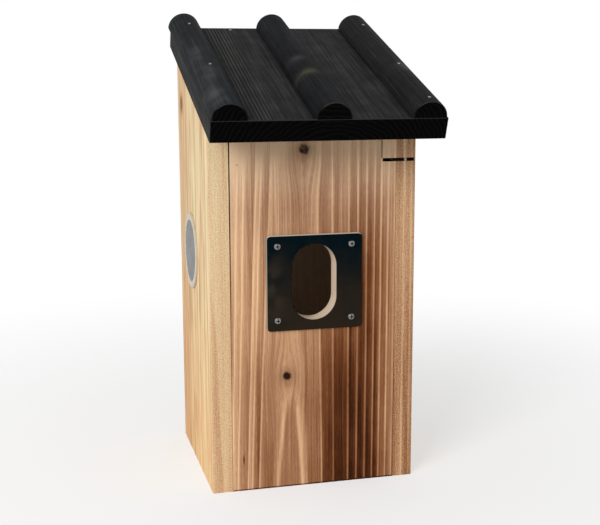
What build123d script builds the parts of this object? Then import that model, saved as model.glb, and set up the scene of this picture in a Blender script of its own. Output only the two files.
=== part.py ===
from build123d import *
import math
import os

# A wooden nest box with a lean-to roof, in millimetres, +Z up.
# The origin is the middle of the underside. The front, with the entrance, faces -Y.

# The body: four walls and a floor, with the front and back set between the side walls
BODY_W = 150.0
BODY_D = 136.0
FRONT_H = 268.5
SIDE_T = 14.5
FRONT_T = 13.5
BACK_T = 15.0
FLOOR_T = 15.0
GAP_LEFT_TOP = 1.0
GAP_LEFT_BOTTOM = 0.2
GAP_RIGHT = 0.4
EDGE_R = 0.7

# The roof: one board that slopes down to the front, with three flat half-round battens,
# each nailed a little out of its place and a little askew, up the slope
ROOF_PITCH = 19.8
ROOF_T = 15.0
OVERHANG_FRONT = 43.0
OVERHANG_SIDE = 5.3
ROOF_EDGE_R = 0.8
ROOF_END_EASE = 0.6
BATTEN_W = 24.0
BATTEN_H = 11.6
BATTEN_SHIFT = {"left": -0.7, "middle": 0.4, "right": -1.0}
BATTEN_SKEW = {"left": 0.6, "middle": 0.4, "right": -0.1}

# The oval entrance and the steel plate screwed round it
ENTRANCE_W = 33.0
ENTRANCE_H = 55.0
ENTRANCE_Z = 151.0
PLATE_W = 70.0
PLATE_H = 68.5
PLATE_T = 2.0
PLATE_R = 3.2
PLATE_BEVEL = 0.6
SCREW_PITCH_X = 54.0
SCREW_PITCH_Z = 53.0
SCREW_HEAD_D = 5.0
SCREW_HEAD_H = 1.5
SCREW_SHANK_D = 2.4
SCREW_LENGTH = 10.0
SCREW_RECESS = 0.8
SCREW_RECESS_W = 0.7
SCREW_RECESS_L = 3.0
HOLE_CLEARANCE = 0.1

# The round windows in the side walls, each a pane let into the outer face
WINDOW_D = 50.0
WINDOW_Z = 164.4
WINDOW_FROM_FRONT = 77.0
PANE_D = 57.0
PANE_T = 2.8
PANE_INSET = 1.4
PANE_CLEARANCE = 0.15

# The saw slot at the top right of the front, the loose corner over it and the pin across it.
# The slot runs on in the front edge of the right wall, shallower, and stops short of its face.
SLOT_FROM_RIGHT = 24.7
SLOT_Z = 234.8
SLOT_H = 2.4
SLOT_DEPTH_IN_WALL = 5.0
SLOT_END_FROM_RIGHT = 1.2
CORNER_GAP = 0.7
CORNER_FROM_RIGHT = 25.6
PIN_D = 2.5
PIN_BEHIND = 0.6
PIN_SEAT = 5.0

# The floor's drain holes
DRAIN_D = 6.0
DRAIN_INSET = 22.0

# The nails in the roof, placed along the slope from its front edge
NAIL_HEAD_D = 2.0
NAIL_HEAD_H = 0.5
NAIL_SHANK_D = 1.4
NAIL_LENGTH = 22.0
NAIL_MIDDLE = 73.0
NAIL_BACK = 163.0
NAIL_FRONT = 7.0
ROOF_NAIL_X = -34.0
ROOF_NAIL_FROM_BACK = 6.0

# How far a cut runs on past the face that it opens
CUT_PAST = 1.0

os.makedirs("parts", exist_ok=True)

front_y = -BODY_D / 2
back_y = BODY_D / 2
inner_x = BODY_W / 2 - SIDE_T
slope = math.tan(math.radians(ROOF_PITCH))
roof_front_y = front_y - OVERHANG_FRONT
roof_front_z = FRONT_H - OVERHANG_FRONT * slope
roof_length = (BODY_D + OVERHANG_FRONT) / math.cos(math.radians(ROOF_PITCH))
roof_width = BODY_W + 2 * OVERHANG_SIDE

# The roof's own plane: X across, Y up the slope from the front edge, Z out of the board
roof_plane = Plane(
    origin=(0, roof_front_y, roof_front_z),
    x_dir=(1, 0, 0),
    z_dir=(0, -math.sin(math.radians(ROOF_PITCH)), math.cos(math.radians(ROOF_PITCH))),
)


def save(shape, node):
    """Write one piece of the nest box under its own name."""
    export_step(shape, f"parts/{node}.step")


def roof_z(y):
    """Height of the roof's underside at the depth y."""
    return FRONT_H + (y - front_y) * slope


def wall(x0, x1, y0, y1):
    """An upright board whose top is planed to the slope of the roof."""
    side = [(y0, 0), (y1, 0), (y1, roof_z(y1)), (y0, roof_z(y0))]
    face = make_face(Polyline(*[(x0, y, z) for y, z in side], close=True))
    return extrude(face, amount=x1 - x0, dir=(1, 0, 0))


def block(x0, x1, y0, y1, z0, z1):
    """A square-cornered piece between two opposite corners."""
    return Pos((x0 + x1) / 2, (y0 + y1) / 2, (z0 + z1) / 2) * Box(x1 - x0, y1 - y0, z1 - z0)


def oval_prism(y0, y1):
    """The entrance's upright oval, run from y0 to y1."""
    oval = Plane.XZ * Pos(0, ENTRANCE_Z) * SlotOverall(ENTRANCE_H, ENTRANCE_W, rotation=90)
    return Pos(0, y0, 0) * extrude(oval, amount=y1 - y0, dir=(0, 1, 0))


def rod_along_y(x, z, y0, y1, radius):
    """A round rod from y0 to y1, such as a screw's shank or its hole."""
    return Pos(x, (y0 + y1) / 2, z) * Rot(90, 0, 0) * Cylinder(radius, y1 - y0)


def rounded(shape, edges, radius, limit):
    """Ease the edges of a board, by no more than a share of its thickness."""
    return fillet(edges, min(radius, limit / 4))


# Front wall, with the entrance, the pilot holes of the plate's screws and the saw slot.
# Its left edge is planed to a taper, so that the joint opens towards the top.
front_wall = wall(-inner_x, inner_x - GAP_RIGHT, front_y, front_y + FRONT_T)
taper = [
    (-inner_x - CUT_PAST, 0),
    (-inner_x + GAP_LEFT_BOTTOM, 0),
    (-inner_x + GAP_LEFT_TOP, roof_z(front_y + FRONT_T)),
    (-inner_x - CUT_PAST, roof_z(front_y + FRONT_T)),
]
taper_face = make_face(Polyline(*[(x, front_y, z) for x, z in taper], close=True))
front_wall -= extrude(taper_face, amount=FRONT_T, dir=(0, 1, 0))
front_wall -= oval_prism(front_y - CUT_PAST, front_y + FRONT_T + CUT_PAST)
screw_spots = [
    (sx * SCREW_PITCH_X / 2, ENTRANCE_Z + sz * SCREW_PITCH_Z / 2)
    for sz in (1, -1)
    for sx in (-1, 1)
]
screw_tip_y = front_y - PLATE_T + SCREW_LENGTH
pilot_r = SCREW_SHANK_D / 2 + HOLE_CLEARANCE / 2
for x, z in screw_spots:
    front_wall -= rod_along_y(x, z, front_y - CUT_PAST, screw_tip_y + HOLE_CLEARANCE, pilot_r)

slot_x = BODY_W / 2 - SLOT_FROM_RIGHT
corner_x = BODY_W / 2 - CORNER_FROM_RIGHT
slot_top = SLOT_Z + SLOT_H
above_roof = roof_z(back_y) + CUT_PAST
before_front = front_y - CUT_PAST
behind_front = front_y + FRONT_T + CUT_PAST
front_wall -= block(slot_x, inner_x, before_front, behind_front, SLOT_Z, slot_top)
front_wall -= block(corner_x, inner_x, before_front, behind_front, slot_top, above_roof)
save(front_wall, "front_wall")

# Corner block, the small piece over the saw slot at the front's top right
corner_block = wall(corner_x + CORNER_GAP, inner_x, front_y, front_y + FRONT_T)
below_slot_top = block(corner_x, inner_x + CUT_PAST, before_front, behind_front, -CUT_PAST, slot_top)
corner_block -= below_slot_top
save(corner_block, "corner_block")

# Pin across the saw slot, seated in the right wall above and below it
pin_x = BODY_W / 2 - SIDE_T / 2
pin_y = front_y + PIN_BEHIND + PIN_D / 2
pin_z = SLOT_Z + SLOT_H / 2
pin_length = SLOT_H + 2 * PIN_SEAT
slot_pin = Pos(pin_x, pin_y, pin_z) * Cylinder(PIN_D / 2, pin_length)
pin_hole = Pos(pin_x, pin_y, pin_z) * Cylinder(PIN_D / 2 + HOLE_CLEARANCE / 2, pin_length)
slot_end_x = BODY_W / 2 - SLOT_END_FROM_RIGHT
slot_end_y = front_y + SLOT_DEPTH_IN_WALL
wall_slot = block(inner_x - CUT_PAST, slot_end_x, before_front, slot_end_y, SLOT_Z, slot_top)
save(slot_pin, "slot_pin")

# Side walls, each with a round window whose pane sits in a shallow counterbore
window_y = front_y + WINDOW_FROM_FRONT
for name, side in (("left", -1), ("right", 1)):
    outer = side * BODY_W / 2
    side_wall = wall(min(outer, side * inner_x), max(outer, side * inner_x), front_y, back_y)
    outer_edges = side_wall.faces().sort_by(Axis.X)[-1 if side > 0 else 0].edges()
    upright = outer_edges.filter_by(Axis.Z)
    side_wall = rounded(side_wall, upright, EDGE_R, SIDE_T)
    at_window = Pos(outer, window_y, WINDOW_Z) * Rot(0, 90 * side, 0)
    through = Pos(0, 0, -SIDE_T / 2) * Cylinder(WINDOW_D / 2, SIDE_T + 2 * CUT_PAST)
    seat_r = PANE_D / 2 + PANE_CLEARANCE
    seat_middle = (CUT_PAST - PANE_INSET) / 2
    counterbore = Pos(0, 0, seat_middle) * Cylinder(seat_r, PANE_INSET + CUT_PAST)
    side_wall -= at_window * through
    side_wall -= at_window * counterbore
    pane = Pos(0, 0, PANE_T / 2 - PANE_INSET) * Cylinder(PANE_D / 2, PANE_T)
    rim = pane.faces().sort_by(Axis.Z)[-1].edges()
    pane = chamfer(rim, (PANE_T - PANE_INSET) / 2)
    if side > 0:
        side_wall -= wall_slot
        side_wall -= pin_hole
    save(side_wall, f"{name}_wall")
    save(at_window * pane, f"{name}_window_pane")

# Floor, inside the four walls
floor_y0 = front_y + FRONT_T
floor_y1 = back_y - BACK_T
floor_board = block(-inner_x, inner_x, floor_y0, floor_y1, 0, FLOOR_T)
for sx in (-1, 1):
    for y in (floor_y0 + DRAIN_INSET, floor_y1 - DRAIN_INSET):
        drain_x = sx * (inner_x - DRAIN_INSET)
        floor_board -= Pos(drain_x, y, FLOOR_T / 2) * Cylinder(DRAIN_D / 2, FLOOR_T + 2 * CUT_PAST)
save(floor_board, "floor_board")

# Roof board and the battens on it, with the nails' holes cut where the nails go
nail_hole_r = NAIL_SHANK_D / 2 + HOLE_CLEARANCE / 2


def nail(x, along, seat):
    """A nail that goes straight into the roof, its head on the height seat."""
    head = Pos(x, along, seat + NAIL_HEAD_H / 2) * Cylinder(NAIL_HEAD_D / 2, NAIL_HEAD_H)
    shank = Pos(x, along, seat - NAIL_LENGTH / 2) * Cylinder(NAIL_SHANK_D / 2, NAIL_LENGTH)
    return roof_plane * (head + shank)


def nail_hole(x, along, seat):
    """The hole that a nail's shank fills, open at the top."""
    deep = NAIL_LENGTH + HOLE_CLEARANCE + CUT_PAST
    return Pos(x, along, seat + CUT_PAST - deep / 2) * Cylinder(nail_hole_r, deep)


roof_board = Pos(0, roof_length / 2, ROOF_T / 2) * Box(roof_width, roof_length, ROOF_T)
roof_board = rounded(roof_board, roof_board.edges().filter_by(Axis.Z), ROOF_EDGE_R, ROOF_T)
roof_ends = roof_board.faces().sort_by(Axis.Z)[-1].edges().filter_by(Axis.X)
roof_board = chamfer(roof_ends, ROOF_END_EASE)
batten_places = {"left": -1, "middle": 0, "right": 1}
batten_span = (roof_width - BATTEN_W) / 2
crest = ROOF_T + BATTEN_H
batten_nails = {
    "left": {"middle": NAIL_MIDDLE, "back": NAIL_BACK},
    "middle": {},
    "right": {"front": NAIL_FRONT, "middle": NAIL_MIDDLE, "back": NAIL_BACK},
}
foot_left = (-BATTEN_W / 2, -roof_length, ROOF_T)
foot_right = (BATTEN_W / 2, -roof_length, ROOF_T)
half_round_arc = ThreePointArc(foot_left, (0, -roof_length, crest), foot_right)
half_round = make_face(half_round_arc + Line(foot_right, foot_left))
moulding = extrude(half_round, amount=2 * roof_length, dir=(0, 1, 0))
cut_to_length = Pos(0, roof_length / 2, ROOF_T) * Box(2 * roof_width, roof_length, 4 * BATTEN_H)
for name, place in batten_places.items():
    middle_x = place * batten_span + BATTEN_SHIFT[name]
    batten = Pos(middle_x, roof_length / 2, 0) * Rot(0, 0, BATTEN_SKEW[name]) * moulding
    batten &= cut_to_length
    batten_ends = batten.edges().filter_by(GeomType.LINE, reverse=True)
    batten = chamfer(batten_ends, ROOF_END_EASE)
    lean = math.tan(math.radians(BATTEN_SKEW[name]))
    for spot, along in batten_nails[name].items():
        nail_x = middle_x + lean * (roof_length / 2 - along)
        batten -= nail_hole(nail_x, along, crest)
        roof_board -= nail_hole(nail_x, along, crest)
        save(nail(nail_x, along, crest), f"{name}_batten_nail_{spot}")
    save(roof_plane * batten, f"{name}_batten")

roof_nail_along = roof_length - ROOF_NAIL_FROM_BACK
roof_nail_hole = nail_hole(ROOF_NAIL_X, roof_nail_along, ROOF_T)
roof_board -= roof_nail_hole
save(nail(ROOF_NAIL_X, roof_nail_along, ROOF_T), "roof_nail")
save(roof_plane * roof_board, "roof_board")

# Back wall, between the side walls, with the end of the roof nail in its top
back_wall = wall(-inner_x, inner_x, back_y - BACK_T, back_y)
back_wall -= roof_plane * roof_nail_hole
save(back_wall, "back_wall")

# Entrance plate, flat on the front wall, with the same oval and four screw holes
plate_flat = RectangleRounded(PLATE_W, PLATE_H, PLATE_R)
plate = extrude(Plane.XZ * Pos(0, ENTRANCE_Z) * plate_flat, amount=PLATE_T, dir=(0, -1, 0))
plate = Pos(0, front_y, 0) * plate
plate -= oval_prism(front_y - PLATE_T - CUT_PAST, front_y + CUT_PAST)
plate = chamfer(plate.faces().sort_by(Axis.Y)[0].edges(), PLATE_BEVEL)
for x, z in screw_spots:
    plate -= rod_along_y(x, z, front_y - PLATE_T - CUT_PAST, front_y + CUT_PAST, pilot_r)
save(plate, "entrance_plate")

# Pan-head screws with a cross recess, seated on the plate
dome_r = SCREW_HEAD_D / 2
dome = [(0, 0), (1, 0), (1, 0.35), (0.75, 0.8), (0, 1)]
head_outline = Polyline(*[(dome_r * r, 0, SCREW_HEAD_H * h) for r, h in dome], close=True)
head = revolve(make_face(head_outline), Axis.Z)
for arm in (0, 90):
    bar = Box(SCREW_RECESS_L, SCREW_RECESS_W, 2 * SCREW_RECESS)
    head -= Pos(0, 0, SCREW_HEAD_H) * Rot(0, 0, arm) * bar
shank = Pos(0, 0, -SCREW_LENGTH / 2) * Cylinder(SCREW_SHANK_D / 2, SCREW_LENGTH)
screw = head + shank
corners = ["top_left", "top_right", "bottom_left", "bottom_right"]
for corner, (x, z) in zip(corners, screw_spots):
    placed = Pos(x, front_y - PLATE_T, z) * Rot(90, 0, 0) * screw
    save(placed, f"plate_screw_{corner}")
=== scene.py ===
import math
import bpy
import bmesh
from mathutils import Matrix, Vector

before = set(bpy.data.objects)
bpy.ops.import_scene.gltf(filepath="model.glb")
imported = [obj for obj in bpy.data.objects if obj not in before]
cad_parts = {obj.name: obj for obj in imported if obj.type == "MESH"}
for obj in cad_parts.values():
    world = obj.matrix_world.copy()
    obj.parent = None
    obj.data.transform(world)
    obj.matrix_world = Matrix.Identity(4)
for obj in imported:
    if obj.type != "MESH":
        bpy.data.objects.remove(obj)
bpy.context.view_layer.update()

# The side walls are planed softwood boards, 14.5 mm thick, that stand on end under
# the roof. Their outer faces keep the honey colour of new wood, with soft pinkish
# brown growth rings, and the front edge of the right one is toned like the front.
MM = 1000.0


def add(tree, kind, feeds=None, **settings):
    """A shader node with its settings, and a value or another node's output for each named input."""
    new = tree.nodes.new("ShaderNode" + kind)
    for name, value in settings.items():
        setattr(new, name, value)
    feed(tree, new, feeds or {})
    return new


def feed(tree, node, feeds):
    """Gives each named input of a node a value or another node's output."""
    for name, source in feeds.items():
        if isinstance(source, bpy.types.NodeSocket):
            tree.links.new(source, node.inputs[name])
        else:
            node.inputs[name].default_value = source


def reckon(tree, operation, *terms, clamp=False):
    """One step of arithmetic on values that change over the surface."""
    return add(tree, "Math", dict(enumerate(terms)), operation=operation, use_clamp=clamp).outputs[0]


def slide(tree, value, start, end, low=0.0, high=1.0):
    """Goes smoothly from low, where value is start, to high, where it is end."""
    feeds = {"Value": value, "From Min": start, "From Max": end, "To Min": low, "To Max": high}
    return add(tree, "MapRange", feeds, interpolation_type="SMOOTHSTEP").outputs[0]


def hump(tree, value, middle, width):
    """One at the middle, falling away to nothing about two widths to each side."""
    off = reckon(tree, "DIVIDE", reckon(tree, "SUBTRACT", value, middle), width)
    return reckon(tree, "EXPONENT", reckon(tree, "MULTIPLY", reckon(tree, "MULTIPLY", off, off), -1.0))


def unevenness(tree, across, deep, along, scale, detail):
    """Soft random light and dark from 0 to 1 over three directions."""
    spot = add(tree, "CombineXYZ", {"X": across, "Y": deep, "Z": along}).outputs[0]
    return add(tree, "TexNoise", {"Vector": spot, "Scale": scale, "Detail": detail}).outputs["Fac"]


def distance(tree, aside, above):
    """How far a spot is from a middle that it lies aside of and above."""
    step = add(tree, "CombineXYZ", {"X": aside, "Y": above}).outputs[0]
    return add(tree, "VectorMath", {0: step}, operation="LENGTH").outputs["Value"]


def start_group(name, inputs, outputs):
    """A shader node group with named number sockets. Gives the group, what goes in and what comes out."""
    tree = bpy.data.node_groups.new(name, "ShaderNodeTree")
    for label, default in inputs.items():
        socket = tree.interface.new_socket(label, in_out="INPUT", socket_type="NodeSocketFloat")
        socket.default_value = default
    for label in outputs:
        tree.interface.new_socket(label, in_out="OUTPUT", socket_type="NodeSocketFloat")
    given = tree.nodes.new("NodeGroupInput").outputs
    result = tree.nodes.new("NodeGroupOutput").inputs
    return tree, given, result


# Fibres: fine uneven streaks along the grain of any board, with pitch and length in mm.
FIBRE_CONTRAST = 2.2
FIBRE_LEVEL = -0.6
fibre, given, result = start_group(
    "fibre",
    {"Across": 0.0, "Deep": 0.0, "Along": 0.0, "Pitch": 1.0, "Length": 100.0, "Shift": 0.0},
    ("Streak",),
)
over = reckon(fibre, "DIVIDE", given["Across"], given["Pitch"])
into = reckon(fibre, "DIVIDE", given["Deep"], given["Pitch"])
up = reckon(fibre, "ADD", reckon(fibre, "DIVIDE", given["Along"], given["Length"]), given["Shift"])
streak = unevenness(fibre, over, into, up, 1.0, 2.0)
streak = reckon(fibre, "MULTIPLY_ADD", streak, FIBRE_CONTRAST, FIBRE_LEVEL, clamp=True)
fibre.links.new(streak, result["Streak"])

# A knot: the round foot of a branch, dark in the middle with a brown ring of pressed
# wood about it. Push says how far the growth rings are bent aside, in mm.
RAGGED_PER_MM = 0.4
RAGGED_SWING = 0.7
CORE_EDGE = (0.55, 1.15, 1.0, 0.0)
HALO_WIDTH = 2.0
KNOT_STRETCH = 0.45
KNOT_PUSH = -0.9
knot, given, result = start_group(
    "knot",
    {"Across": 0.0, "Along": 0.0, "Middle Across": 0.0, "Middle Along": 0.0, "Radius": 4.0, "Reach": 3.0},
    ("Core", "Halo", "Push"),
)
aside = reckon(knot, "SUBTRACT", given["Across"], given["Middle Across"])
above = reckon(knot, "SUBTRACT", given["Along"], given["Middle Along"])
ragged = unevenness(knot, given["Across"], given["Along"], 0.0, RAGGED_PER_MM, 2.0)
near = reckon(knot, "DIVIDE", distance(knot, aside, above), given["Radius"])
near = reckon(knot, "ADD", near, reckon(knot, "MULTIPLY_ADD", ragged, RAGGED_SWING, -RAGGED_SWING / 2))
knot.links.new(slide(knot, near, *CORE_EDGE), result["Core"])
knot.links.new(hump(knot, near, 0.0, HALO_WIDTH), result["Halo"])
far = distance(knot, aside, reckon(knot, "MULTIPLY", above, KNOT_STRETCH))
bend = hump(knot, reckon(knot, "DIVIDE", far, given["Radius"]), 0.0, given["Reach"])
knot.links.new(reckon(knot, "MULTIPLY", reckon(knot, "MULTIPLY", aside, bend), KNOT_PUSH), result["Push"])

# Growth rings of a board sawn beside the heart of the log: pale early wood that
# darkens to a thin line and starts again, even where the cut shows them as an arch.
WANDER_ROUND = 30.0
WANDER_ALONG = 160.0
WANDER_MM = 10.0
LATE_WOOD = 2.0
RING_END = (0.9, 1.0, 1.0, 0.0)
rings, given, result = start_group(
    "growth rings",
    {"Across": 0.0, "Deep": 0.0, "Along": 0.0, "Width": 6.0, "Taper": 0.02, "Shift": 0.0},
    ("Ring",),
)
square = reckon(rings, "MULTIPLY", given["Across"], given["Across"])
span = reckon(rings, "SQRT", reckon(rings, "MULTIPLY_ADD", given["Deep"], given["Deep"], square))
over = reckon(rings, "DIVIDE", given["Across"], WANDER_ROUND)
into = reckon(rings, "DIVIDE", given["Deep"], WANDER_ROUND)
up = reckon(rings, "ADD", reckon(rings, "DIVIDE", given["Along"], WANDER_ALONG), given["Shift"])
span = reckon(rings, "MULTIPLY_ADD", unevenness(rings, over, into, up, 1.0, 1.0), WANDER_MM, span)
span = reckon(rings, "MULTIPLY_ADD", given["Along"], given["Taper"], span)
turn = reckon(rings, "FRACT", reckon(rings, "DIVIDE", span, given["Width"]))
rise = reckon(rings, "POWER", turn, LATE_WOOD)
rings.links.new(reckon(rings, "MULTIPLY", rise, slide(rings, turn, *RING_END)), result["Ring"])


def colour(red, green, blue):
    """The sRGB colour that a paint chart gives as three numbers up to 255, as Blender keeps it."""
    shares = [part / 255.0 for part in (red, green, blue)]
    linear = [s / 12.92 if s <= 0.04045 else ((s + 0.055) / 1.055) ** 2.4 for s in shares]
    return (*linear, 1.0)


def tint(tree, value, stops):
    """The colour for a value from 0 to 1, between the stops of a colour chart."""
    ramp = add(tree, "ValToRGB", {"Fac": value})
    ramp.color_ramp.elements.remove(ramp.color_ramp.elements[1])
    ramp.color_ramp.elements[0].position = stops[0][0]
    ramp.color_ramp.elements[0].color = colour(*stops[0][1])
    for place, shade in stops[1:]:
        ramp.color_ramp.elements.new(place).color = colour(*shade)
    return ramp.outputs["Color"]


def blend(tree, share, first, second, way="MIX"):
    """Mixes two colours by the share of the second. With the way MULTIPLY the second is a thin stain."""
    mix = add(tree, "Mix", {"Factor": share}, data_type="RGBA", blend_type=way)
    feed(tree, mix, {6: first, 7: second})
    return mix.outputs[2]


def place_group(tree, group, feeds):
    """Places a group in a material with its own values."""
    placed = tree.nodes.new("ShaderNodeGroup")
    placed.node_tree = group
    feed(tree, placed, feeds)
    return placed.outputs


def streaks(tree, grain, pitch, length, shift=0.0):
    """Fibres over a board: grain is its directions across, deep and along, pitch and length are in mm."""
    across, deep, along = grain
    feeds = {"Across": across, "Deep": deep, "Along": along, "Pitch": pitch, "Length": length, "Shift": shift}
    return place_group(tree, fibre, feeds)["Streak"]


def branch_foot(tree, across, along, spot, reach):
    """A knot at a spot across and along with a radius, all in mm. It bends the rings out to its reach."""
    middle, height, radius = spot
    return place_group(tree, knot, {
        "Across": across, "Along": along,
        "Middle Across": middle, "Middle Along": height, "Radius": radius, "Reach": reach,
    })


def sway(tree, tone, streak, share):
    """The tone made lighter and darker about itself by a share of a streak."""
    return reckon(tree, "MULTIPLY_ADD", reckon(tree, "SUBTRACT", streak, 0.5), share, tone)


def start_material(name, turn=0.0):
    """A material with its shader, and the place on the object in millimetres, turned about X."""
    material = bpy.data.materials.new(name)
    material.use_nodes = True
    tree = material.node_tree
    shader = tree.nodes["Principled BSDF"]
    where = add(tree, "TexCoord").outputs["Object"]
    feeds = {"Vector": where, "Rotation": (turn, 0.0, 0.0), "Scale": (MM, MM, MM)}
    place = add(tree, "SeparateXYZ", {0: add(tree, "Mapping", feeds).outputs[0]}).outputs
    return material, tree, shader, place


def finish_wood(tree, shader, shade, roughness, gloss, height, rise):
    """Gives wood its colour, roughness and gloss, and a relief that rises this many metres."""
    tree.links.new(shade, shader.inputs["Base Color"])
    shader.inputs["Roughness"].default_value = roughness
    shader.inputs["Specular IOR Level"].default_value = gloss
    bump = add(tree, "Bump", {"Height": height, "Distance": rise, "Strength": 1.0})
    tree.links.new(bump.outputs["Normal"], shader.inputs["Normal"])


def finish_node(name, material):
    """Gives a CAD node its material."""
    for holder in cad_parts[name].material_slots:
        holder.material = material


def reach_of(name, way):
    """From where to where a CAD node reaches, in mm: way 0 is across, 1 is front to back, 2 is up."""
    places = [corner[way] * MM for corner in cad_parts[name].bound_box]
    return min(places), max(places)


HONEY = (
    (0.0, (246, 229, 186)),
    (0.3, (231, 205, 161)),
    (0.6, (210, 171, 132)),
    (0.8, (186, 140, 104)),
    (1.0, (140, 98, 66)),
)
HONEY_LOW = (255, 226, 196)
WARM_FROM_TO = (230.0, 0.0, 0.0, 0.6)
WARM_OFF_EDGE = 0.8
WOOD_ROUGHNESS = 0.7
WOOD_GLOSS = 0.06
WALL_RELIEF = 0.0001

STREAK_PITCH = 1.1
STREAK_LENGTH = 150.0
STREAK_SHARE = 0.24
STRIPE_PITCH = 7.5
STRIPE_LENGTH = 190.0
STRIPE_SHIFT = 3.0
STRIPE_SHARE = 0.42
PORE_PITCH = 0.42
PORE_LENGTH = 7.0
PORE_SHARE = 0.08
WALL_RING_WIDTH = 8.5
WALL_RING_SHARE = 0.34
LOG_MIDDLE = -34.0
LEFT_LOG_HEART = -98.0
RIGHT_LOG_HEART = -38.0
BACK_DARKER = (-5.0, 45.0, -0.2, 0.04)

SIDE_KNOT = (49.0, 273.0, 7.0)
SIDE_KNOT_REACH = 2.5
SIDE_KNOT_BROWN = (118, 88, 58)
SIDE_KNOT_SHARE = 0.7
SIDE_HALO_TONE = 0.85
PINK_FLUSH = (228, 174, 142)
OLIVE_STREAK = (176, 144, 98)
FLUSHES = ((PINK_FLUSH, 9.0, 45.0, 0.6), (OLIVE_STREAK, 6.0, 60.0, 0.55))
FLUSH_FROM_TO = (0.5, 0.95)

WALL_FRONT = reach_of("left_wall", 1)[0]
SIDE_WALL_INNER = reach_of("right_wall", 0)[0]
JOINT_BACK = reach_of("front_wall", 1)[1]
INSIDE_TONE = (112, 84, 62)
INSIDE_SHARE = 0.6
INSIDE_SKIN = (0.3, 0.05)
INSIDE_FROM_TO = (1.0, 2.0)
LEFT_EDGE_TONE = 0.34
RIGHT_EDGE_TONE = 0.68
EDGE_LINES = ((66.7, 0.8, 0.3), (72.2, 0.6, 0.2))
EDGE_SKIN = (0.4, 0.1)
EDGE_PLAINER = 0.5
EDGE_DARKER_LOW = (240.0, 60.0, -0.06, 0.1)
EDGE_PORES = 0.1
GRIT_PER_MM = 1.1
GRIT_SHARE = 0.9

KERF_PAINTED_SHADE = (52, 30, 18)
SLOT_HEIGHT = 236.0
SLOT_HALF = 1.4
SLOT_SET_BACK = 0.05
SLOT_DEPTH = 8.0
SLOT_END = 74.0


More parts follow.
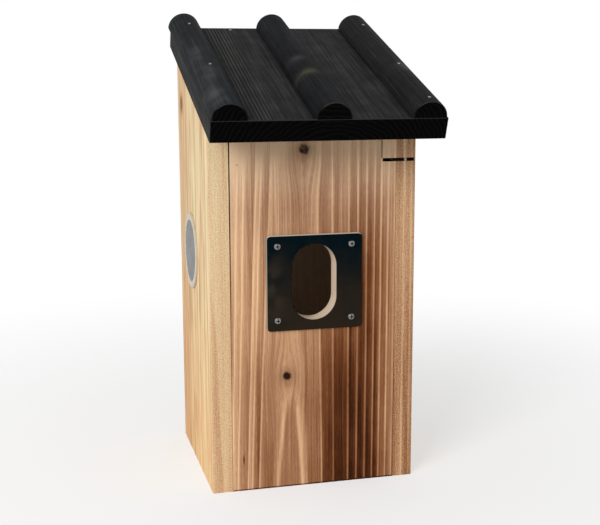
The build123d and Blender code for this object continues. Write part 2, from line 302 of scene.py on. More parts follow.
def wall_wood(name, side, log_heart, edge_tone, edge_lines):
    """The wood of a side wall: side is -1 for the left one. Its front edge has a tone and pale lines."""
    material, tree, shader, place = start_material(name)
    across, deep, along = place["Y"], place["X"], place["Z"]
    grain = (across, deep, along)
    within = reckon(tree, "MULTIPLY", deep, float(side))
    front_edge = slide(tree, across, WALL_FRONT + EDGE_SKIN[0], WALL_FRONT + EDGE_SKIN[1])
    fine = streaks(tree, grain, STREAK_PITCH, STREAK_LENGTH, side)
    broad = streaks(tree, grain, STRIPE_PITCH, STRIPE_LENGTH, STRIPE_SHIFT * side)
    pores = streaks(tree, grain, PORE_PITCH, PORE_LENGTH, side)
    branch = branch_foot(tree, across, along, SIDE_KNOT, SIDE_KNOT_REACH)

    pushed = reckon(tree, "ADD", across, branch["Push"])
    from_heart = reckon(tree, "MULTIPLY", reckon(tree, "SUBTRACT", deep, log_heart), float(-side))
    ring = place_group(tree, rings, {
        "Across": reckon(tree, "SUBTRACT", pushed, LOG_MIDDLE),
        "Deep": from_heart, "Along": along, "Width": WALL_RING_WIDTH, "Shift": side,
    })["Ring"]
    tone = reckon(tree, "MULTIPLY_ADD", ring, WALL_RING_SHARE, reckon(tree, "MULTIPLY", broad, STRIPE_SHARE))
    tone = reckon(tree, "MULTIPLY_ADD", fine, STREAK_SHARE, tone)
    tone = reckon(tree, "ADD", tone, slide(tree, across, *BACK_DARKER))
    tone = reckon(tree, "MAXIMUM", tone, reckon(tree, "MULTIPLY", branch["Halo"], SIDE_HALO_TONE))

    # The front edge is plainer than the face, in a tone of its own, and gritty.
    tone = reckon(tree, "MULTIPLY", tone, reckon(tree, "MULTIPLY_ADD", front_edge, -EDGE_PLAINER, 1.0))
    tone = reckon(tree, "MULTIPLY_ADD", front_edge, edge_tone, tone)
    for middle, width, strength in edge_lines:
        line = reckon(tree, "MULTIPLY", hump(tree, within, middle, width), front_edge)
        tone = reckon(tree, "MULTIPLY_ADD", line, -strength, tone)
    lower = slide(tree, along, *EDGE_DARKER_LOW)
    tone = reckon(tree, "MULTIPLY_ADD", front_edge, lower, tone)
    grit = unevenness(tree, deep, along, 0.0, GRIT_PER_MM, 2.0)
    tone = sway(tree, tone, grit, reckon(tree, "MULTIPLY", front_edge, GRIT_SHARE))
    stipple = reckon(tree, "MULTIPLY_ADD", front_edge, EDGE_PORES, PORE_SHARE)
    shade = tint(tree, sway(tree, tone, pores, stipple), HONEY)

    face = reckon(tree, "SUBTRACT", 1.0, front_edge)
    for patch, pitch, length, share in FLUSHES:
        patches = streaks(tree, grain, pitch, length, pitch * side)
        patches = reckon(tree, "MULTIPLY", slide(tree, patches, *FLUSH_FROM_TO, 0.0, share), face)
        shade = blend(tree, patches, shade, colour(*patch))
    core = reckon(tree, "MULTIPLY", branch["Core"], SIDE_KNOT_SHARE)
    shade = blend(tree, core, shade, colour(*SIDE_KNOT_BROWN))
    warmth = slide(tree, along, *WARM_FROM_TO)
    warmth = reckon(tree, "MULTIPLY", warmth, reckon(tree, "MULTIPLY_ADD", front_edge, -WARM_OFF_EDGE, 1.0))
    shade = blend(tree, warmth, shade, colour(*HONEY_LOW), "MULTIPLY")

    # The inner face is darker, but not where the front wall covers it.
    inside = slide(tree, within, SIDE_WALL_INNER + INSIDE_SKIN[0], SIDE_WALL_INNER + INSIDE_SKIN[1])
    behind_joint = slide(tree, across, JOINT_BACK + INSIDE_FROM_TO[0], JOINT_BACK + INSIDE_FROM_TO[1])
    inside = reckon(tree, "MULTIPLY", inside, behind_joint)
    shade = blend(tree, reckon(tree, "MULTIPLY", inside, INSIDE_SHARE), shade, colour(*INSIDE_TONE))

    # The walls of the saw kerf are painted with shade, from just behind the face to its closed end.
    off_slot = reckon(tree, "ABSOLUTE", reckon(tree, "SUBTRACT", along, SLOT_HEIGHT))
    kerf_shade = reckon(tree, "LESS_THAN", off_slot, SLOT_HALF)
    for cut, bound in (("GREATER_THAN", WALL_FRONT + SLOT_SET_BACK), ("LESS_THAN", WALL_FRONT + SLOT_DEPTH)):
        kerf_shade = reckon(tree, "MULTIPLY", kerf_shade, reckon(tree, cut, across, bound))
    kerf_shade = reckon(tree, "MULTIPLY", kerf_shade, reckon(tree, "LESS_THAN", within, SLOT_END))
    shade = blend(tree, kerf_shade, shade, colour(*KERF_PAINTED_SHADE))
    relief = reckon(tree, "ADD", fine, pores)
    finish_wood(tree, shader, shade, WOOD_ROUGHNESS, WOOD_GLOSS, relief, WALL_RELIEF)
    return material


finish_node("left_wall", wall_wood("left wall softwood", -1, LEFT_LOG_HEART, LEFT_EDGE_TONE, ()))
finish_node("right_wall", wall_wood("right wall softwood", 1, RIGHT_LOG_HEART, RIGHT_EDGE_TONE, EDGE_LINES))

# The front wall is a flat-sawn softwood board. Its face has been scorched: the soft
# part of each growth ring burned brown, the hard lines stayed pale, and the burn is
# deepest low on the right. The rings bend round two knots and arch below the lower one.
SCORCHED = (
    (0.0, (238, 197, 153)),
    (0.2, (208, 162, 123)),
    (0.4, (167, 121, 88)),
    (0.6, (135, 86, 54)),
    (0.8, (97, 53, 26)),
    (1.0, (55, 24, 6)),
)
FRONT_RELIEF = 0.00012
FINE_RELIEF = 0.6

# Each knot has its place across and up and its radius, and each mark its place, all in mm.
UPPER_KNOT = (-7.0, 244.6, 4.0)
LOWER_KNOT = (-20.1, 83.2, 3.4)
FRONT_KNOT_REACH = 2.6
KNOT_HEART = (38, 21, 12)
KNOT_RING = (118, 80, 50)
KNOT_RING_SHARE = 0.62
KNOT_CHECKS = (0.62, 0.9, 1.0, 0.75)
RESIN = (158, 122, 88)
RESIN_SPOT = (-8.2, 245.4)
RESIN_SIZE = 0.6
RESIN_SHARE = 0.8
PITCH_STREAK = (-52.2, 23.2)
PITCH_SIZE = (0.5, 3.0)
PITCH_TONE = 0.6
SPECK = (-54.4, 234.9)
SPECK_SIZE = (0.5, 0.7)
SPECK_TONE = 0.7

# The rings, outward from the heart line in mm: where each pale line lies, and how pale
# the soft wood beyond it starts, from 0 for the darkest to 1 for the line itself.
HEART_X = -17.0
HEART_LEAN = 0.014
HEART_TONE = 0.6
RIGHT_RINGS = (
    (8.5, 0.35), (21.8, 0.15), (31.1, 0.16), (42.6, 0.0), (49.2, 0.0),
    (55.5, 0.1), (61.3, 0.05), (66.2, 0.1), (71.4, 0.25), (76.2, 0.2),
)
LEFT_RINGS = ((8.5, 0.4), (21.0, 0.1), (26.6, 0.45), (29.7, 0.0), (37.4, 0.35), (41.9, 0.4))
LINE_HALF = 1.0
LINE_FOOT = 0.28
SPAN_FROM = -50.0
SPAN_TO = 80.0
SPAN_END_TONE = 0.6
WAVER_ACROSS = 22.0
WAVER_ALONG = 120.0
WAVER_MM = 0.8

ARCH_TOP = 75.0
ARCH_RATE = 1.2
ARCH_SPREAD = (2.0, 3.0)
ARCH_FADE = (78.0, 50.0)
ARCH_LINE_WIDTH = 1.3
ARCH_LINE_PALER = -0.2
ARCH_INNER = -3.0
ARCH_INNER_DARKER = 0.13


def ring_points(rings, way):
    """The pale lines at the ends of the rings, and the level that each ring starts with beyond its line."""
    points = []
    for number, (line, level) in enumerate(rings):
        peak = 1.0 if number else HEART_TONE
        points += [(line, peak), (line + LINE_HALF, level)]
        if number + 1 < len(rings):
            foot = level + (1.0 - level) * LINE_FOOT
            points.append((rings[number + 1][0] - LINE_HALF, foot))
    return [(way * reach, level) for reach, level in points]


material, tree, shader, place = start_material("scorched front softwood")
across, deep, along = place["X"], place["Y"], place["Z"]
feet = []
pushed = across
for spot in (UPPER_KNOT, LOWER_KNOT):
    branch = branch_foot(tree, across, along, spot, FRONT_KNOT_REACH)
    feet.append(branch)
    pushed = reckon(tree, "ADD", pushed, branch["Push"])
over = reckon(tree, "DIVIDE", across, WAVER_ACROSS)
up = reckon(tree, "DIVIDE", along, WAVER_ALONG)
pushed = sway(tree, pushed, unevenness(tree, over, up, 0.0, 1.0, 2.0), WAVER_MM)

above_arch = reckon(tree, "SUBTRACT", along, ARCH_TOP)
heart = reckon(tree, "MULTIPLY_ADD", above_arch, HEART_LEAN, HEART_X)
off = reckon(tree, "SUBTRACT", pushed, heart)
arch = reckon(tree, "MULTIPLY_ADD", above_arch, ARCH_RATE, reckon(tree, "MULTIPLY", off, off))
span = reckon(tree, "SQRT", reckon(tree, "MAXIMUM", arch, 0.0))
span = reckon(tree, "MULTIPLY", span, reckon(tree, "SIGN", off))
share = reckon(tree, "DIVIDE", reckon(tree, "SUBTRACT", span, SPAN_FROM), SPAN_TO - SPAN_FROM)
lines = add(tree, "FloatCurve", {"Value": share})
curve = lines.mapping.curves[0]
curve.points[0].location = (0.0, SPAN_END_TONE)
curve.points[1].location = (1.0, SPAN_END_TONE)
for reach, level in ring_points(RIGHT_RINGS, 1.0) + ring_points(LEFT_RINGS, -1.0) + [(0.0, HEART_TONE)]:
    curve.points.new((reach - SPAN_FROM) / (SPAN_TO - SPAN_FROM), level)
for point in curve.points:
    point.handle_type = "VECTOR"
lines.mapping.update()
pale = lines.outputs[0]

# The burn is deepest low on the right, with flares beside the plate, by the heart line
# and at the foot on the left. A flare has a middle and a width across.
BURN_UP = (225.0, 8.0)
BURN_ACROSS = (-4.0, 15.0)
BURN_RIGHT_END = (50.5, 44.0, 0.3, 1.0)
PLATE_FLARE = ((38.0, 14.0), (155.0, 45.0))
PLATE_FLARE_BURN = 0.32
LOW_FLARES = (((-2.0, 7.0), (130.0, 60.0, 0.0, 0.36)), ((-36.0, 12.0), (100.0, 30.0, 0.0, 0.3)))
PATCH_BURN = (0.2, 0.9)
RING_DEPTH = 0.4
BURN_DEEPENS = 0.28
BURN_DARKENS = 0.28
# Streaks over the face have a pitch and a length in mm, and the shift that parts them.
FRONT_FINE = (0.55, 70.0)
FRONT_FINE_SHARE = 0.2
FRONT_BROAD = (2.4, 120.0, 5.0)
FRONT_BROAD_SHARE = 0.13
FRONT_PORES = (0.4, 5.0, 9.0)
FRONT_PORE_SHARE = 0.12
FRONT_PATCHES = (15.0, 40.0, 2.0)
FRONT_PATCH_SHARE = 0.08
grain = (pushed, deep, along)
fine = streaks(tree, grain, *FRONT_FINE)
broad = streaks(tree, grain, *FRONT_BROAD)
pores = streaks(tree, grain, *FRONT_PORES)
patchy = streaks(tree, grain, *FRONT_PATCHES)
burn = reckon(tree, "MULTIPLY", slide(tree, across, *BURN_ACROSS), slide(tree, across, *BURN_RIGHT_END))
burn = reckon(tree, "MULTIPLY", slide(tree, along, *BURN_UP), burn)
flare = reckon(tree, "MULTIPLY", hump(tree, across, *PLATE_FLARE[0]), hump(tree, along, *PLATE_FLARE[1]))
burn = reckon(tree, "MULTIPLY_ADD", flare, PLATE_FLARE_BURN, burn)
for sideways, upward in LOW_FLARES:
    burn = reckon(tree, "MULTIPLY_ADD", hump(tree, across, *sideways), slide(tree, along, *upward), burn)
burn = reckon(tree, "MULTIPLY", burn, reckon(tree, "MULTIPLY_ADD", patchy, *PATCH_BURN), clamp=True)
depth = reckon(tree, "MULTIPLY_ADD", burn, BURN_DEEPENS, RING_DEPTH)
tone = reckon(tree, "MULTIPLY", reckon(tree, "SUBTRACT", 1.0, pale), depth)
tone = reckon(tree, "MULTIPLY_ADD", burn, BURN_DARKENS, tone)

# The left edge and a patch left of the plate are paler, under the eaves and at the very top
# painted light lifts the wood where the roof's shade falls, and towards the top the wood is duller.
FROM_LEFT_EDGE = (-62.0, -35.0, 0.005, 0.135)
EAVES_LIGHT_RISE = (200.0, 238.0)
EAVES_PAINTED_LIGHT = (8.0, 32.0, -0.17, -0.23)
TOP_PAINTED_LIGHT = (230.0, 250.0, 0.0, -0.16)
PALE_PATCH = ((-44.0, 14.0), (152.0, 42.0))
PALE_PATCH_PALER = -0.15
BROWN_PATCH = (-8.0, 13.0)
BROWN_RISE = (165.0, 235.0, 0.0, 0.04)
FOOT_LINE = (1.4, 0.4, 0.0, 0.5)
DULL = 0.9
DULL_FROM_TO = (150.0, 250.0)
tone = reckon(tree, "ADD", tone, slide(tree, across, *FROM_LEFT_EDGE))
aside = reckon(tree, "ABSOLUTE", pushed)
# Painted light: paler wood under the eaves and at the top, against the roof's shade.
tone = reckon(tree, "MULTIPLY_ADD", slide(tree, along, *EAVES_LIGHT_RISE), slide(tree, aside, *EAVES_PAINTED_LIGHT), tone)
tone = reckon(tree, "ADD", tone, slide(tree, along, *TOP_PAINTED_LIGHT))
patch = reckon(tree, "MULTIPLY", hump(tree, across, *PALE_PATCH[0]), hump(tree, along, *PALE_PATCH[1]))
tone = reckon(tree, "MULTIPLY_ADD", patch, PALE_PATCH_PALER, tone)
tone = reckon(tree, "MULTIPLY_ADD", hump(tree, across, *BROWN_PATCH), slide(tree, along, *BROWN_RISE), tone)
tone = reckon(tree, "ADD", tone, slide(tree, along, *FOOT_LINE))

# Below the lower knot the rings close to an arch, with a pale line along it.
spread = reckon(tree, "MULTIPLY_ADD", reckon(tree, "ABSOLUTE", off), *ARCH_SPREAD)
from_arch = reckon(tree, "DIVIDE", arch, spread)
under_knot = slide(tree, along, *ARCH_FADE)
within_arch = reckon(tree, "MULTIPLY", slide(tree, from_arch, 0.0, ARCH_INNER), under_knot)
tone = reckon(tree, "MULTIPLY_ADD", within_arch, ARCH_INNER_DARKER, tone)
arch_line = reckon(tree, "MULTIPLY", hump(tree, from_arch, 0.0, ARCH_LINE_WIDTH), under_knot)
tone = reckon(tree, "MULTIPLY_ADD", arch_line, ARCH_LINE_PALER, tone)

tone = sway(tree, tone, fine, FRONT_FINE_SHARE)
tone = sway(tree, tone, broad, FRONT_BROAD_SHARE)
tone = sway(tree, tone, pores, FRONT_PORE_SHARE)
tone = sway(tree, tone, patchy, FRONT_PATCH_SHARE)
marks = ((PITCH_STREAK, PITCH_SIZE, PITCH_TONE), (SPECK, SPECK_SIZE, SPECK_TONE))
for (middle, height), (width, length), darker in marks:
    mark = reckon(tree, "MULTIPLY", hump(tree, across, middle, width), hump(tree, along, height, length))
    tone = reckon(tree, "MULTIPLY_ADD", mark, darker, tone)
shade = tint(tree, tone, SCORCHED)
duller = add(tree, "HueSaturation", {"Saturation": DULL, "Value": 1.0, "Color": shade}).outputs[0]
shade = blend(tree, slide(tree, along, *DULL_FROM_TO), shade, duller)
for branch in feet:
    shade = blend(tree, reckon(tree, "MULTIPLY", branch["Halo"], KNOT_RING_SHARE), shade, colour(*KNOT_RING))
    check = reckon(tree, "MULTIPLY", branch["Core"], slide(tree, fine, *KNOT_CHECKS))
    shade = blend(tree, check, shade, colour(*KNOT_HEART))
bead = hump(tree, across, RESIN_SPOT[0], RESIN_SIZE)
bead = reckon(tree, "MULTIPLY", bead, hump(tree, along, RESIN_SPOT[1], RESIN_SIZE))
shade = blend(tree, reckon(tree, "MULTIPLY", bead, RESIN_SHARE), shade, colour(*RESIN))


def facing(tree):
    """Which way the surface faces, as shares of X, Y and Z."""
    return add(tree, "SeparateXYZ", {0: add(tree, "NewGeometry").outputs["Normal"]}).outputs


# The entrance shows raw wood all round. The board's sides in the joints carry painted
# shade, and on the left one painted light takes over towards the foot.
RAW_CUT = (226, 204, 180)
JOINT_PAINTED_SHADE = (40, 24, 15)
JOINT_PAINTED_LIGHT = (240, 200, 164)
JOINT_LIGHT_FROM_TO = (190.0, 70.0)
CUT_FACE = (0.9, 0.6)
ENTRANCE_HEIGHT = sum(reach_of("entrance_plate", 2)) / 2
NEAR_ENTRANCE = (20.0, 30.0)
cut_face = slide(tree, reckon(tree, "ABSOLUTE", facing(tree)["Y"]), *CUT_FACE)
above = reckon(tree, "ABSOLUTE", reckon(tree, "SUBTRACT", along, ENTRANCE_HEIGHT))
hole = reckon(tree, "LESS_THAN", reckon(tree, "ABSOLUTE", across), NEAR_ENTRANCE[0])
hole = reckon(tree, "MULTIPLY", hole, reckon(tree, "LESS_THAN", above, NEAR_ENTRANCE[1]))
# Painted shade on the board's sides in the joints, with painted light low on the left.
joint_light_and_shade = blend(tree, slide(tree, along, *JOINT_LIGHT_FROM_TO), colour(*JOINT_PAINTED_SHADE), colour(*JOINT_PAINTED_LIGHT))
joint_light_and_shade = blend(tree, reckon(tree, "GREATER_THAN", across, 0.0), joint_light_and_shade, colour(*JOINT_PAINTED_SHADE))
shade = blend(tree, cut_face, shade, blend(tree, hole, joint_light_and_shade, colour(*RAW_CUT)))
relief = reckon(tree, "MULTIPLY_ADD", fine, FINE_RELIEF, pale)
finish_wood(tree, shader, shade, WOOD_ROUGHNESS, WOOD_GLOSS, relief, FRONT_RELIEF)
finish_node("front_wall", material)
finish_node("corner_block", material)

# The back wall and the floor are plain boards of the same softwood, set between the
# side walls and never scorched. Only the back's inner face is seen from the front,
# through the entrance, and it is a little redder and plainer than the outer one.
INSIDE_TINGE = (255, 240, 250)
INSIDE_PLAINER = 0.6
BACK_INNER = reach_of("back_wall", 1)[0]
BACK_HEART_X = -18.0
BACK_HEART_Y = 30.0
BACK_RING_WIDTH = 7.0
BACK_RING_TAPER = 0.05
BACK_RING_SHIFT = 4.0
BACK_RING_SHARE = 0.42
BACK_STREAK = (0.2, 0.02)
BACK_RELIEF = 0.00006
material, tree, shader, place = start_material("plain softwood")
ring = place_group(tree, rings, {
    "Across": reckon(tree, "SUBTRACT", place["X"], BACK_HEART_X),
    "Deep": reckon(tree, "SUBTRACT", place["Y"], BACK_HEART_Y),
    "Along": place["Z"], "Width": BACK_RING_WIDTH, "Taper": BACK_RING_TAPER, "Shift": BACK_RING_SHIFT,
})["Ring"]
fine = streaks(tree, (place["X"], place["Y"], place["Z"]), STREAK_PITCH, STREAK_LENGTH)
inner = slide(tree, place["Y"], BACK_INNER + INSIDE_SKIN[0], BACK_INNER + INSIDE_SKIN[1])
ring = reckon(tree, "MULTIPLY", ring, reckon(tree, "MULTIPLY_ADD", inner, -INSIDE_PLAINER, 1.0))
tone = reckon(tree, "MULTIPLY_ADD", fine, *BACK_STREAK)
tone = reckon(tree, "MULTIPLY_ADD", ring, BACK_RING_SHARE, tone, clamp=True)
shade = blend(tree, inner, tint(tree, tone, HONEY), colour(*INSIDE_TINGE), "MULTIPLY")
finish_wood(tree, shader, shade, WOOD_ROUGHNESS, WOOD_GLOSS, fine, BACK_RELIEF)
for name in ("back_wall", "floor_board"):
    finish_node(name, material)

# The roof is one board with three half-round battens nailed along the slope, all
# stained black. The end grain at both ends drank the stain, and its near-black colour is
# also painted shade, set by which way the faces turn, beside the greyer upper faces.
ROOF_PITCH = math.radians(19.8)
EAVES = -18.7
BATTEN_FEET = (-57.0, -11.6, 12.4, 55.3)
FOOT_SHADE_WIDTH = 1.5
FOOT_PAINTED_SHADE = -0.5
STAIN = ((0.0, (10, 10, 11)), (0.5, (34, 34, 35)), (1.0, (70, 69, 68)))
STAIN_FINE = (0.7, 60.0)
STAIN_FINE_SHARE = 0.42
STAIN_BROAD = (5.0, 90.0)
STAIN_BROAD_SHIFT = 1.4
STAIN_BROAD_SHARE = 0.2
MOTTLE_PER_MM = 0.07
MOTTLE = (0.4, -0.12)
GROOVE_PITCH = 2.5
GROOVES = (-46.0, 8.0)
GROOVE_DEPTH = 0.3
END_STAIN_AND_SHADE = (1, 1, 1)
END_RING = (13, 13, 12)
END_FACE = (0.6, 0.85)
END_HEART = 240.0
END_WAVER = 9.0
END_RING_WIDTH = 3.2
END_LATE_WOOD = 3.0
RIM_WEAR_AND_HIGHLIGHT = (46, 46, 45)
RIM_FACE = (0.1, 0.35)
OLIVE_WEAR = (84, 82, 64)
GREY_WEAR = (92, 92, 94)
WEAR_THROUGH = (0.38, 0.6, 0.2)
ROOF_ROUGHNESS = 0.65
ROOF_GLOSS = 0.02
ROOF_RELIEF = 0.0002


def stained_wood(name, shift, tone_up, tinge, grooves=0.0, feet=(), wear=()):
    """Black-stained wood with the grain up the slope. Shift picks its streaks, tone_up lightens it, tinge
    colours it. It may have saw grooves, painted shade where battens meet it, and worn places."""
    material, tree, shader, place = start_material(name, -ROOF_PITCH)
    across, up, out = place["X"], place["Y"], place["Z"]
    fine = streaks(tree, (across, out, up), *STAIN_FINE, shift)
    broad = streaks(tree, (across, out, up), *STAIN_BROAD, shift * STAIN_BROAD_SHIFT)
    mottle = unevenness(tree, across, up, out, MOTTLE_PER_MM, 5.0)
    tone = reckon(tree, "MULTIPLY_ADD", fine, STAIN_FINE_SHARE, tone_up)
    tone = reckon(tree, "MULTIPLY_ADD", broad, STAIN_BROAD_SHARE, tone)
    tone = reckon(tree, "ADD", tone, reckon(tree, "MULTIPLY_ADD", mottle, *MOTTLE))
    wave = reckon(tree, "SINE", reckon(tree, "MULTIPLY", across, math.tau / GROOVE_PITCH))
    groove = reckon(tree, "MULTIPLY", wave, hump(tree, across, *GROOVES))
    tone = reckon(tree, "MULTIPLY_ADD", groove, -grooves, tone)
    # Painted shade along the feet of the battens that stand on the board.
    for foot in feet:
        tone = reckon(tree, "MULTIPLY_ADD", hump(tree, across, foot, FOOT_SHADE_WIDTH), FOOT_PAINTED_SHADE, tone)
    shade = blend(tree, 1.0, tint(tree, tone, STAIN), colour(*tinge), "MULTIPLY")
    for (middle, width), (height, length), worn, share in wear:
        patch = hump(tree, reckon(tree, "SUBTRACT", up, EAVES), height, length)
        patch = reckon(tree, "MULTIPLY", hump(tree, across, middle, width), patch)
        patch = reckon(tree, "MULTIPLY", patch, slide(tree, mottle, *WEAR_THROUGH, share))
        shade = blend(tree, patch, shade, colour(*worn))

    # The rings of the end grain show as faint arcs, and the eased rim of each end, where it
    # faces up, is paler: partly wear, partly a painted highlight.
    normal = facing(tree)
    end_grain = slide(tree, reckon(tree, "ABSOLUTE", normal["Y"]), *END_FACE)
    span = distance(tree, across, reckon(tree, "SUBTRACT", out, END_HEART))
    span = reckon(tree, "MULTIPLY_ADD", mottle, END_WAVER, span)
    turn = reckon(tree, "FRACT", reckon(tree, "DIVIDE", span, END_RING_WIDTH))
    arcs = reckon(tree, "POWER", turn, END_LATE_WOOD)
    # End faces painted nearly black: stain in the end grain, and painted shade.
    shade = blend(tree, end_grain, shade, blend(tree, arcs, colour(*END_STAIN_AND_SHADE), colour(*END_RING)))
    eased_rim_highlight = reckon(tree, "MULTIPLY", slide(tree, normal["Z"], *RIM_FACE), end_grain)
    shade = blend(tree, eased_rim_highlight, shade, colour(*RIM_WEAR_AND_HIGHLIGHT))
    finish_wood(tree, shader, shade, ROOF_ROUGHNESS, ROOF_GLOSS, fine, ROOF_RELIEF)
    return material


# A worn place has its middle and width across, its middle and length up from the eaves,
# its colour, and how much of it shows.
LEFT_WEAR = (
    ((-74.0, 5.0), (22.0, 14.0), GREY_WEAR, 0.42),
    ((-72.0, 5.0), (60.0, 16.0), GREY_WEAR, 0.36),
    ((-74.0, 4.0), (100.0, 12.0), GREY_WEAR, 0.36),
)
MIDDLE_WEAR = (
    ((-3.0, 8.0), (60.0, 5.0), OLIVE_WEAR, 0.55),
    ((-4.0, 6.0), (89.0, 5.0), GREY_WEAR, 0.28),
)
RIGHT_WEAR = (((72.0, 5.0), (70.0, 14.0), GREY_WEAR, 0.5),)
board = stained_wood(
    "stained roof board",
    shift=8.0, tone_up=0.16, tinge=(255, 254, 252), grooves=GROOVE_DEPTH, feet=BATTEN_FEET,
)
finish_node("roof_board", board)
for name, shift, tone_up, tinge, wear in (
    ("left_batten", 6.0, 0.12, (236, 246, 255), LEFT_WEAR),
    ("middle_batten", -5.0, -0.1, (246, 250, 255), MIDDLE_WEAR),
    ("right_batten", 1.0, 0.02, (255, 255, 252), RIGHT_WEAR),
):
    batten = stained_wood("stained " + name.replace("_", " "), shift, tone_up, tinge, wear=wear)
    finish_node(name, batten)

# The entrance plate is a dark enamelled steel sheet with rounded corners, held by four
# cross-head screws. It shines softly, blue black above and browner below, and the
# bevel of its top and left edges carries a pale painted highlight.
PLATE_TOP = (4, 17, 22)
PLATE_LOW = (40, 33, 25)
PLATE_FROM_TO = (186.0, 118.0)
PLATE_CLOUD = (64, 54, 44)
CLOUD_SPOT = ((-30.0, 7.0), (148.0, 20.0))
CLOUD_THROUGH = (0.4, 0.65, 0.0, 0.5)
MIST_PER_MM = 0.06
MIST_SWING = (0.8, -0.4)
PLATE_BEVEL_HIGHLIGHT = (186, 174, 158)
BEVEL_FACE = (-0.95, -0.85)
HIGHLIGHT_LEFT = -34.0
HIGHLIGHT_LEFT_SHARE = 0.6
HIGHLIGHT_TOP = 184.0
PLATE_ROUGHNESS = 0.28
PLATE_ROUGHER = 0.15
UNEVEN_FROM_TO = (0.3, 0.7)
PLATE_GLOSS = 0.015
material, tree, shader, place = start_material("dark plate")
across, up = place["X"], place["Z"]
mist = unevenness(tree, across, up, 0.0, MIST_PER_MM, 3.0)
lower = slide(tree, up, *PLATE_FROM_TO)
share = reckon(tree, "ADD", lower, reckon(tree, "MULTIPLY_ADD", mist, *MIST_SWING), clamp=True)
shade = blend(tree, share, colour(*PLATE_TOP), colour(*PLATE_LOW))
cloud = reckon(tree, "MULTIPLY", hump(tree, across, *CLOUD_SPOT[0]), hump(tree, up, *CLOUD_SPOT[1]))
cloud = reckon(tree, "MULTIPLY", cloud, slide(tree, mist, *CLOUD_THROUGH))
shade = blend(tree, cloud, shade, colour(*PLATE_CLOUD))
# A painted highlight on the bevel of the top and left edges, where the light falls.
bevel_highlight = reckon(tree, "MULTIPLY", reckon(tree, "LESS_THAN", across, HIGHLIGHT_LEFT), HIGHLIGHT_LEFT_SHARE)
bevel_highlight = reckon(tree, "MAXIMUM", bevel_highlight, reckon(tree, "GREATER_THAN", up, HIGHLIGHT_TOP))
bevel_highlight = reckon(tree, "MULTIPLY", slide(tree, facing(tree)["Y"], *BEVEL_FACE), bevel_highlight)
shade = blend(tree, bevel_highlight, shade, colour(*PLATE_BEVEL_HIGHLIGHT))
tree.links.new(shade, shader.inputs["Base Color"])
rough = slide(tree, mist, *UNEVEN_FROM_TO, PLATE_ROUGHNESS, PLATE_ROUGHNESS + PLATE_ROUGHER)
tree.links.new(rough, shader.inputs["Roughness"])
shader.inputs["Specular IOR Level"].default_value = PLATE_GLOSS
finish_node("entrance_plate", material)

# Screws, the pin in the saw kerf and the roof nails are steel: the screws bright
# zinc, the nails dulled by the stain that ran over them.
BRIGHT_STEEL = (150, 150, 148)
BRIGHT_ROUGHNESS = 0.25
PIN_STEEL = (158, 148, 134)
PIN_ROUGHNESS = 0.35
NAIL_STEEL = (172, 168, 160)
NAIL_ROUGHNESS = 0.4
SCRATCH_PER_MM = 1.2
SCRATCH_ROUGHER = 0.2
SCRATCH_DARKER = 0.7
SCRATCH_FROM_TO = (0.35, 0.75)
RECESS_PAINTED_SHADE = (20, 17, 14)
RECESS_HALF = 0.42
RECESS_SIDE_SOFT = 0.15
RECESS_REACH = 1.6
RECESS_END_SOFT = 0.2
HEAD_RIM_SHADE = (1.9, 2.5, 0.0, 0.7)


def steel(name, shade, roughness):
    """Steel with fine scratches, as bright as its shade."""
    material, tree, shader, place = start_material(name)
    worn = unevenness(tree, place["X"], place["Y"], place["Z"], SCRATCH_PER_MM, 3.0)
    rough = slide(tree, worn, *UNEVEN_FROM_TO, roughness, roughness + SCRATCH_ROUGHER)
    tree.links.new(rough, shader.inputs["Roughness"])
    darker = tuple(part * SCRATCH_DARKER for part in shade)
    worn_shade = blend(tree, slide(tree, worn, *SCRATCH_FROM_TO), colour(*shade), colour(*darker))
    tree.links.new(worn_shade, shader.inputs["Base Color"])
    shader.inputs["Metallic"].default_value = 1.0
    return material, tree, shader, place, worn_shade


def off_screws(tree, value, way):
    """How far a place lies past the line of screws on its own side of the plate's middle."""
    first = sum(reach_of("plate_screw_bottom_left", way)) / 2
    last = sum(reach_of("plate_screw_top_right", way)) / 2
    off = reckon(tree, "ABSOLUTE", reckon(tree, "SUBTRACT", value, (first + last) / 2))
    return reckon(tree, "SUBTRACT", off, (last - first) / 2)


# The cross recess and the rim of each screw's head are painted with shade.
screw_steel, tree, shader, place, worn_shade = steel("bright zinc", BRIGHT_STEEL, BRIGHT_ROUGHNESS)
aside = off_screws(tree, place["X"], 0)
above = off_screws(tree, place["Z"], 2)
nearest = reckon(tree, "MINIMUM", reckon(tree, "ABSOLUTE", aside), reckon(tree, "ABSOLUTE", above))
out = distance(tree, aside, above)
recess = slide(tree, nearest, RECESS_HALF, RECESS_HALF - RECESS_SIDE_SOFT)
recess = reckon(tree, "MULTIPLY", recess, slide(tree, out, RECESS_REACH, RECESS_REACH - RECESS_END_SOFT))
painted_shade = reckon(tree, "MAXIMUM", recess, slide(tree, out, *HEAD_RIM_SHADE))
tree.links.new(blend(tree, painted_shade, worn_shade, colour(*RECESS_PAINTED_SHADE)), shader.inputs["Base Color"])
for row in ("top", "bottom"):
    for side in ("left", "right"):
        finish_node(f"plate_screw_{row}_{side}", screw_steel)
finish_node("slot_pin", steel("pin steel", PIN_STEEL, PIN_ROUGHNESS)[0])
nail_steel = steel("nail steel", NAIL_STEEL, NAIL_ROUGHNESS)[0]
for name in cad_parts:
    if "nail" in name:
        finish_node(name, nail_steel)

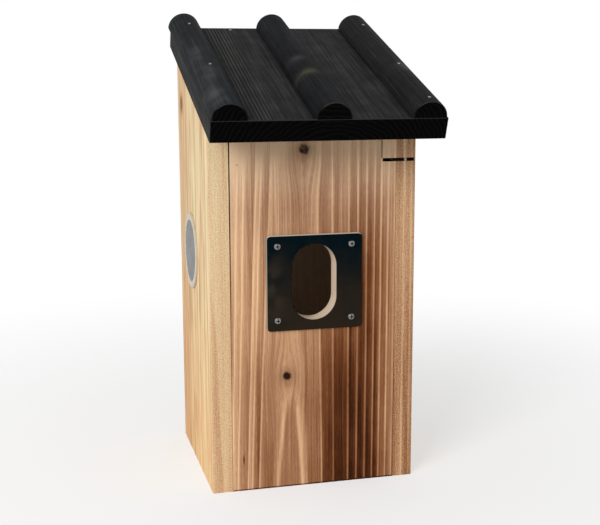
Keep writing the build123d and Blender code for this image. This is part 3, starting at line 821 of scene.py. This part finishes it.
# The two round windows are acrylic discs with a pale rim, let into the side walls.
# They are painted dark and mostly solid, as painted shade for the dark inside of the box,
# and seen aslant they mirror the room.
PANE_PAINTED_SHADE = (46, 42, 37)
PANE_RIM = (192, 176, 148)
WINDOW_MIDDLE = [sum(reach_of("left_window_pane", way)) / 2 for way in (1, 2)]
WINDOW_RADIUS = 23.5
RIM_SOFT = 0.3
PANE_SOLID = 0.8
PANE_SMEAR = 0.06
SMEAR_PER_MM = 0.08
RIM_MORE_SOLID = 0.15
PANE_ROUGHNESS = 0.15
PANE_GLOSS = 0.12
material, tree, shader, place = start_material("window acrylic")
aside = reckon(tree, "SUBTRACT", place["Y"], WINDOW_MIDDLE[0])
above = reckon(tree, "SUBTRACT", place["Z"], WINDOW_MIDDLE[1])
smear = unevenness(tree, aside, above, 0.0, SMEAR_PER_MM, 3.0)
out = distance(tree, aside, above)
edge = slide(tree, out, WINDOW_RADIUS - RIM_SOFT, WINDOW_RADIUS + RIM_SOFT)
solid = slide(tree, smear, *UNEVEN_FROM_TO, PANE_SOLID - PANE_SMEAR, PANE_SOLID + PANE_SMEAR)
tree.links.new(reckon(tree, "MULTIPLY_ADD", edge, RIM_MORE_SOLID, solid), shader.inputs["Alpha"])
tree.links.new(blend(tree, edge, colour(*PANE_PAINTED_SHADE), colour(*PANE_RIM)), shader.inputs["Base Color"])
shader.inputs["Roughness"].default_value = PANE_ROUGHNESS
shader.inputs["Specular IOR Level"].default_value = PANE_GLOSS
for name in ("left_window_pane", "right_window_pane"):
    finish_node(name, material)

# The studio: a wide pale floor that fades into the white room, one large soft lamp in
# front on the left, and light from all round. The camera stands left of the front.
FLOOR_HALF = 6.0
FLOOR_SHADE = (246, 246, 246)
FLOOR_ROUGHNESS = 0.9
FLOOR_FADE = (0.1, 0.7)
FLOOR_LEAST_FADE = 0.5
ROOM_LIGHT = 0.54
LAMP_PLACE = Vector((-1.75, -1.85, 1.35))
LAMP_SIZE = 1.3
LAMP_POWER = 54.0
AIM = Vector((-0.0102, -0.068, 0.1652))
CAMERA_AZIMUTH = math.radians(-14.27)
CAMERA_ELEVATION = math.radians(10.08)
CAMERA_ROLL = math.radians(-0.205)
CAMERA_DISTANCE = 0.7569
CAMERA_LENS = 64.48

shape = bmesh.new()
bmesh.ops.create_grid(shape, x_segments=1, y_segments=1, size=FLOOR_HALF)
mesh = bpy.data.meshes.new("floor")
shape.to_mesh(mesh)
shape.free()
floor = bpy.data.objects.new("floor", mesh)
bpy.context.scene.collection.objects.link(floor)
material = bpy.data.materials.new("pale floor")
material.use_nodes = True
tree = material.node_tree
shader = tree.nodes["Principled BSDF"]
shader.inputs["Base Color"].default_value = colour(*FLOOR_SHADE)
shader.inputs["Roughness"].default_value = FLOOR_ROUGHNESS
shader.inputs["Specular IOR Level"].default_value = 0.0
spot = add(tree, "TexCoord").outputs["Object"]
out = add(tree, "VectorMath", {0: spot}, operation="LENGTH").outputs["Value"]
far = slide(tree, out, *FLOOR_FADE, FLOOR_LEAST_FADE, 1.0)
clear = add(tree, "BsdfTransparent").outputs[0]
fade = add(tree, "MixShader", {0: far, 1: shader.outputs[0], 2: clear})
tree.links.new(fade.outputs[0], tree.nodes["Material Output"].inputs["Surface"])
floor.data.materials.append(material)

world = bpy.data.worlds.new("studio")
bpy.context.scene.world = world
world.use_nodes = True
tree = world.node_tree
path = add(tree, "LightPath").outputs
seen = reckon(tree, "MAXIMUM", path["Is Glossy Ray"], path["Is Transmission Ray"])
seen = reckon(tree, "MAXIMUM", path["Is Camera Ray"], seen)
room = tree.nodes["Background"]
room.inputs["Color"].default_value = (1.0, 1.0, 1.0, 1.0)
tree.links.new(slide(tree, seen, 0.0, 1.0, ROOM_LIGHT, 1.0), room.inputs["Strength"])

lamp = bpy.data.objects.new("soft lamp", bpy.data.lights.new("soft lamp", "AREA"))
lamp.data.size = LAMP_SIZE
lamp.data.energy = LAMP_POWER
lamp.location = LAMP_PLACE
lamp.rotation_mode = "QUATERNION"
lamp.rotation_quaternion = (AIM - LAMP_PLACE).to_track_quat("-Z", "Y")
bpy.context.scene.collection.objects.link(lamp)

back = Vector((
    math.sin(CAMERA_AZIMUTH) * math.cos(CAMERA_ELEVATION),
    -math.cos(CAMERA_AZIMUTH) * math.cos(CAMERA_ELEVATION),
    math.sin(CAMERA_ELEVATION),
))
camera = bpy.data.objects.new("camera", bpy.data.cameras.new("camera"))
camera.data.lens = CAMERA_LENS
camera.location = AIM + back * CAMERA_DISTANCE
camera.rotation_mode = "QUATERNION"
level = (-back).to_track_quat("-Z", "Y")
camera.rotation_quaternion = level @ Matrix.Rotation(CAMERA_ROLL, 4, "Z").to_quaternion()
bpy.context.scene.collection.objects.link(camera)
bpy.context.scene.camera = camera
bpy.context.scene.view_settings.view_transform = "Standard"
